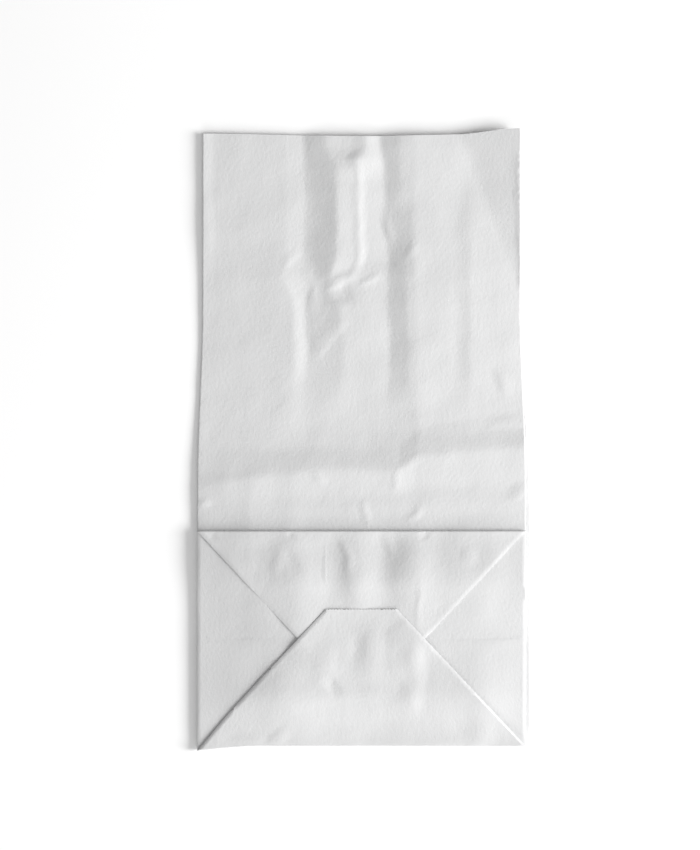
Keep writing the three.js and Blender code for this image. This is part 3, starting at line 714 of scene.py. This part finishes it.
# Stations beside a fold, across the flaps and their mitres, and across half of a gusset
NEAR_FOLD = [0, FOLD_START, FOLD_REACH]
FLAP_STATIONS = [*NEAR_FOLD, *spaced(FOLD_REACH + FOLD_MARGIN, TURN, FINE)]
GUSSET_STATIONS = [*NEAR_FOLD[:-1], *spaced(FOLD_REACH, CENTRE_FOLD - FOLD_REACH, GUSSET_STEP),
                   *mirrored(NEAR_FOLD[:-1], CENTRE_FOLD)]

# Rows up the blank: over the flaps, past the gussets' cross fold and up to the mouth
FLAP_ROWS = mirrored(FLAP_STATIONS, 0)
ABOVE_BEND = [CENTRE_FOLD + a for a in NEAR_FOLD[1:]]
BODY_ROWS = spaced(CENTRE_FOLD + HIDDEN_FROM, MOUTH, HIDDEN_STEP)


# A column of the mesh is (u, its rows, whether a cell's diagonal rises below the level, the level, and
# whether it rises above it)
def column(u, rows, rises_below, level, rises_above):
    return u, sorted(set(np.round(rows, ROW_DIGITS))), rises_below, level, rises_above


def back_columns():
    """Columns of the back and the lower flap, with the teeth of the flap's cut edge."""
    teeth = spaced(TURN, HALF, TOOTH_PITCH / 2)[1:-1]
    lap = [LAP_INSET, LAP_INSET + LAP_STEP, LAP_INSET + LAP_WIDTH, LAP_INSET + LAP_WIDTH + LAP_STEP]
    half = [*FLAP_STATIONS, *teeth]
    made = []
    for a in sorted([*half, HALF, *mirrored(half, BAG_WIDTH), *lap])[:-1]:
        edge = FLAP_ROWS[:]
        in_edge = TURN < a < BAG_WIDTH - TURN
        if in_edge and round((a - TURN) / (TOOTH_PITCH / 2)) % 2:
            edge[0] -= TOOTH_DEPTH
        made.append(column(a, [*edge, *NEAR_FOLD, *BODY_ROWS], a >= HALF, 0, True))
    return made


def front_columns():
    """Columns of the front and the upper flap, which are seen, so their rows are close."""
    half = [*FLAP_STATIONS, *spaced(TURN, HALF, FINE)[1:-1]]
    bend = mirrored(NEAR_FOLD, CENTRE_FOLD)
    rows = [*FLAP_ROWS, *NEAR_FOLD, *bend, *ABOVE_BEND, *spaced(GUSSET - SHOWN_MARGIN, MOUTH, FINE)]
    made = []
    for a in [*half, HALF, *mirrored(half, BAG_WIDTH)][:-1]:
        by_gusset = min(a, BAG_WIDTH - a) < FOLD_REACH + NEARLY
        full = [*rows, *GUSSET_STATIONS, *BODY_ROWS] if by_gusset else rows
        made.append(column(FRONT_START + a, full, a >= HALF, 0, False))
    return made


def gusset_columns(start):
    """Columns of a gusset and its side flap. The gussets' cells lean to their mitred cross fold."""
    rows = [*FLAP_ROWS[::2], *NEAR_FOLD, *GUSSET_STATIONS, *ABOVE_BEND, *BODY_ROWS]
    first_rows = [*FLAP_ROWS, *GUSSET_STATIONS, *ABOVE_BEND, *BODY_ROWS]
    made = []
    for index, a in enumerate([*GUSSET_STATIONS[:-1], *mirrored(GUSSET_STATIONS, GUSSET)][:-1]):
        first_half = index < len(GUSSET_STATIONS) - 1
        rises_above = not first_half if start == BAG_WIDTH else first_half
        made.append(column(start + a, rows if index else first_rows, first_half, CENTRE_FOLD, rises_above))
    return made


def zip_columns(made, starts):
    """One face of the sheet as triangles between neighbouring columns, stepping up both together."""
    triangles = []
    for index, (left, left_start) in enumerate(zip(made, starts)):
        right = made[(index + 1) % len(made)]
        right_start = starts[(index + 1) % len(made)]
        left_rows, right_rows = left[1], right[1]
        _, _, rises_below, level, rises_above = left
        a = b = 0
        while a < len(left_rows) - 1 or b < len(right_rows) - 1:
            next_left = left_rows[a + 1] if a + 1 < len(left_rows) else math.inf
            next_right = right_rows[b + 1] if b + 1 < len(right_rows) else math.inf
            rising = rises_below if left_rows[a] < level else rises_above
            step_right = rising if abs(next_left - next_right) < SAME_ROW else next_left > next_right
            apex = right_start + b + 1 if step_right else left_start + a + 1
            triangles.append((left_start + a, apex, right_start + b))
            if step_right:
                b += 1
            else:
                a += 1
    return triangles


def rim_triangles(starts, count):
    """The sheet's two cut edges, which join its outer face to its inner one."""
    rims = []
    columns = len(starts) - 1
    for index in range(columns):
        after = (index + 1) % columns
        low, low_next = starts[index], starts[after]
        high, high_next = starts[index + 1] - 1, starts[after + 1] - 1
        rims += [(low, low_next, low + count), (low_next, low_next + count, low + count)]
        rims += [(high, high + count, high_next), (high_next, high + count, high_next + count)]
    return rims


def make_bag():
    """The whole bag as one closed sheet, with the blank's own measures as its UV map."""
    made = [*back_columns(), *gusset_columns(BAG_WIDTH)]
    made += [*front_columns(), *gusset_columns(FRONT_START + BAG_WIDTH)]
    starts = np.cumsum([0, *(len(rows) for _, rows, *_ in made)])
    u = np.concatenate([np.full(len(rows), place) for place, rows, *_ in made])
    v = np.concatenate([np.array(rows) for _, rows, *_ in made])
    outer = zip_columns(made, starts[:-1])
    inner = [(a + len(u), c + len(u), b + len(u)) for a, b, c in outer]
    triangles = [*outer, *inner, *rim_triangles(starts, len(u))]
    points = np.concatenate(sheet_faces(u, v))
    points[:, 2] -= points[:, 2].min()
    mesh = bpy.data.meshes.new("folded_bag")
    corners = [tuple(int(index) for index in triangle) for triangle in triangles]
    mesh.from_pydata((points * MM).tolist(), [], corners)
    mesh.update()
    uv = mesh.uv_layers.new(name="blank")
    corner_vertex = np.zeros(len(mesh.loops), int)
    mesh.loops.foreach_get("vertex_index", corner_vertex)
    blank = np.stack([np.concatenate([u, u]), np.concatenate([v, v])], -1) * MM
    uv.data.foreach_set("uv", blank[corner_vertex].ravel())
    mesh.shade_smooth()
    mesh.set_sharp_from_angle(angle=math.radians(SHARP_FOLD))
    bag = bpy.data.objects.new("folded_bag", mesh)
    bpy.context.collection.objects.link(bag)
    return bag


def cockle_tree():
    """Geometry nodes that cockle the whole stack: a soft noise over it, the same for every layer."""
    tree = bpy.data.node_groups.new("paper_cockle", "GeometryNodeTree")
    tree.interface.new_socket("Geometry", in_out="INPUT", socket_type="NodeSocketGeometry")
    for label in ("Height", "Waves", "Seed"):
        tree.interface.new_socket(label, in_out="INPUT", socket_type="NodeSocketFloat")
    tree.interface.new_socket("Material", in_out="INPUT", socket_type="NodeSocketMaterial")
    tree.interface.new_socket("Geometry", in_out="OUTPUT", socket_type="NodeSocketGeometry")
    nodes, links = tree.nodes, tree.links
    given = nodes.new("NodeGroupInput")
    flat = nodes.new("ShaderNodeVectorMath")
    flat.operation = "MULTIPLY"
    flat.inputs[1].default_value = (1, 1, 0)
    links.new(nodes.new("GeometryNodeInputPosition").outputs["Position"], flat.inputs[0])
    clouds = nodes.new("ShaderNodeTexNoise")
    clouds.noise_dimensions = "4D"
    clouds.inputs["Detail"].default_value = COCKLE_DETAIL
    links.new(flat.outputs["Vector"], clouds.inputs["Vector"])
    links.new(given.outputs["Waves"], clouds.inputs["Scale"])
    links.new(given.outputs["Seed"], clouds.inputs["W"])
    rise = nodes.new("ShaderNodeMath")
    rise.operation = "MULTIPLY"
    links.new(clouds.outputs["Fac"], rise.inputs[0])
    links.new(given.outputs["Height"], rise.inputs[1])
    up = nodes.new("ShaderNodeCombineXYZ")
    links.new(rise.outputs["Value"], up.inputs["Z"])
    move = nodes.new("GeometryNodeSetPosition")
    links.new(given.outputs["Geometry"], move.inputs["Geometry"])
    links.new(up.outputs["Vector"], move.inputs["Offset"])
    real = nodes.new("GeometryNodeRealizeInstances")
    links.new(move.outputs["Geometry"], real.inputs["Geometry"])
    dressed = nodes.new("GeometryNodeSetMaterial")
    links.new(real.outputs["Geometry"], dressed.inputs["Geometry"])
    links.new(given.outputs["Material"], dressed.inputs["Material"])
    links.new(dressed.outputs["Geometry"], nodes.new("NodeGroupOutput").inputs["Geometry"])
    return tree


def cockle(bag, material):
    """Cockles the bag's paper and puts its material on, and leaves it a plain mesh on the table."""
    tree = cockle_tree()
    modifier = bag.modifiers.new("cockle", "NODES")
    modifier.node_group = tree
    values = {
        "Height": COCKLE_HEIGHT * MM, "Waves": COCKLE_WAVES, "Seed": COCKLE_SEED, "Material": material,
    }
    for socket in tree.interface.items_tree:
        if socket.in_out == "INPUT" and socket.name in values:
            modifier[socket.identifier] = values[socket.name]
    graph = bpy.context.evaluated_depsgraph_get()
    mesh = bpy.data.meshes.new_from_object(bag.evaluated_get(graph))
    bag.modifiers.clear()
    bag.data = mesh
    lowest = min(vertex.co.z for vertex in mesh.vertices)
    mesh.transform(Matrix.Translation((0, 0, -lowest)))


# Materials
def grey(value):
    return (value, value, value, 1)


def set_inputs(node, values):
    for label, value in values.items():
        node.inputs[label].default_value = value


def noise(nodes, links, vector, values):
    node = nodes.new("ShaderNodeTexNoise")
    set_inputs(node, values)
    links.new(vector, node.inputs["Vector"])
    return node.outputs["Fac"]


def mapped(nodes, links, value, low, high):
    """A noise's usual range spread from low to high."""
    node = nodes.new("ShaderNodeMapRange")
    set_inputs(node, {"From Min": NOISE_RANGE[0], "From Max": NOISE_RANGE[1]})
    set_inputs(node, {"To Min": low, "To Max": high})
    links.new(value, node.inputs["Value"])
    return node.outputs["Result"]


def paper_material():
    """Matt white paper: cloudy fibres, a faint tooth and slightly uneven whiteness."""
    material = bpy.data.materials.new("white_paper")
    material.use_nodes = True
    nodes, links = material.node_tree.nodes, material.node_tree.links
    shader = nodes["Principled BSDF"]
    set_inputs(shader, PAPER_SHEEN)
    place = nodes.new("ShaderNodeTexCoord").outputs["Object"]
    fibres = nodes.new("ShaderNodeMapping")
    fibres.inputs["Scale"].default_value = MOTTLE_STRETCH
    links.new(place, fibres.inputs["Vector"])
    clouds = noise(nodes, links, place, CLOUDS)
    mottle = noise(nodes, links, fibres.outputs["Vector"], MOTTLE)
    tooth = noise(nodes, links, place, TOOTH)
    mixed = nodes.new("ShaderNodeMath")
    mixed.operation = "MULTIPLY_ADD"
    links.new(clouds, mixed.inputs[0])
    mixed.inputs[1].default_value = CLOUD_SHARE
    links.new(mottle, mixed.inputs[2])
    white = nodes.new("ShaderNodeMix")
    white.data_type = "RGBA"
    set_inputs(white, {"A": PAPER_DARKER, "B": PAPER_LIGHTER})
    links.new(mapped(nodes, links, mixed.outputs[0], 0, 1), white.inputs["Factor"])
    links.new(white.outputs["Result"], shader.inputs["Base Color"])
    links.new(mapped(nodes, links, mottle, *PAPER_ROUGHNESS), shader.inputs["Roughness"])
    coarse = nodes.new("ShaderNodeBump")
    set_inputs(coarse, MOTTLE_BUMP)
    links.new(mottle, coarse.inputs["Height"])
    fine = nodes.new("ShaderNodeBump")
    set_inputs(fine, TOOTH_BUMP)
    links.new(tooth, fine.inputs["Height"])
    links.new(coarse.outputs["Normal"], fine.inputs["Normal"])
    links.new(fine.outputs["Normal"], shader.inputs["Normal"])
    return material


def floor_material():
    """A plain white surface: seen white, and it keeps the bag's shadow."""
    material = bpy.data.materials.new("white_table")
    material.use_nodes = True
    nodes, links = material.node_tree.nodes, material.node_tree.links
    shader = nodes["Principled BSDF"]
    set_inputs(shader, {"Roughness": FLOOR_ROUGHNESS, "Specular IOR Level": 0.0})
    rays = nodes.new("ShaderNodeLightPath")
    seen = nodes.new("ShaderNodeMix")
    seen.data_type = "RGBA"
    set_inputs(seen, {"A": grey(FLOOR_GREY), "B": grey(FLOOR_WHITE)})
    links.new(rays.outputs["Is Camera Ray"], seen.inputs["Factor"])
    links.new(seen.outputs["Result"], shader.inputs["Base Color"])
    return material


# The studio
def make_floor():
    mesh = bpy.data.meshes.new("table_top")
    reach = FLOOR_SIZE / 2
    corners = [(-reach, -reach, 0), (reach, -reach, 0), (reach, reach, 0), (-reach, reach, 0)]
    mesh.from_pydata(corners, [], [(0, 1, 2, 3)])
    mesh.materials.append(floor_material())
    floor = bpy.data.objects.new("table_top", mesh)
    bpy.context.collection.objects.link(floor)


def make_lamp(name, turn, rise, size, power):
    light = bpy.data.lights.new(name, "AREA")
    light.shape = "DISK"
    light.size = size
    light.energy = power
    lamp = bpy.data.objects.new(name, light)
    turn, rise = math.radians(turn), math.radians(rise)
    way = Vector((math.cos(rise) * math.cos(turn), math.cos(rise) * math.sin(turn), math.sin(rise)))
    lamp.location = way * LAMP_DISTANCE
    lamp.rotation_euler = way.to_track_quat("Z", "Y").to_euler()
    bpy.context.collection.objects.link(lamp)


def make_room():
    """Soft white light from all round, stronger from the foot's side."""
    world = bpy.data.worlds.new("soft_room")
    world.use_nodes = True
    nodes, links = world.node_tree.nodes, world.node_tree.links
    sky = nodes["Background"]
    sky.inputs["Color"].default_value = (1, 1, 1, 1)
    split = nodes.new("ShaderNodeSeparateXYZ")
    links.new(nodes.new("ShaderNodeTexCoord").outputs["Generated"], split.inputs["Vector"])
    lean = nodes.new("ShaderNodeMath")
    lean.operation = "MULTIPLY_ADD"
    lean.inputs[1].default_value = FILL_STRENGTH * FILL_LEAN
    lean.inputs[2].default_value = FILL_STRENGTH
    links.new(split.outputs["Y"], lean.inputs[0])
    links.new(lean.outputs[0], sky.inputs["Strength"])
    bpy.context.scene.world = world


def make_lights():
    make_lamp("key", **KEY_LAMP)
    make_lamp("foot", **FOOT_LAMP)
    make_room()


def make_camera():
    lens = bpy.data.cameras.new("camera")
    lens.sensor_width = SENSOR
    lens.lens = SENSOR * CAMERA_HEIGHT / PICTURE_HEIGHT
    camera = bpy.data.objects.new("camera", lens)
    camera.location = (*PICTURE_MIDDLE, CAMERA_HEIGHT)
    bpy.context.collection.objects.link(camera)
    bpy.context.scene.camera = camera


make_camera()
make_lights()
make_floor()
bag = make_bag()
cockle(bag, paper_material())
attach(bag, "root")
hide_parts("paper_bag")

bpy.context.scene.view_settings.view_transform = "Standard"
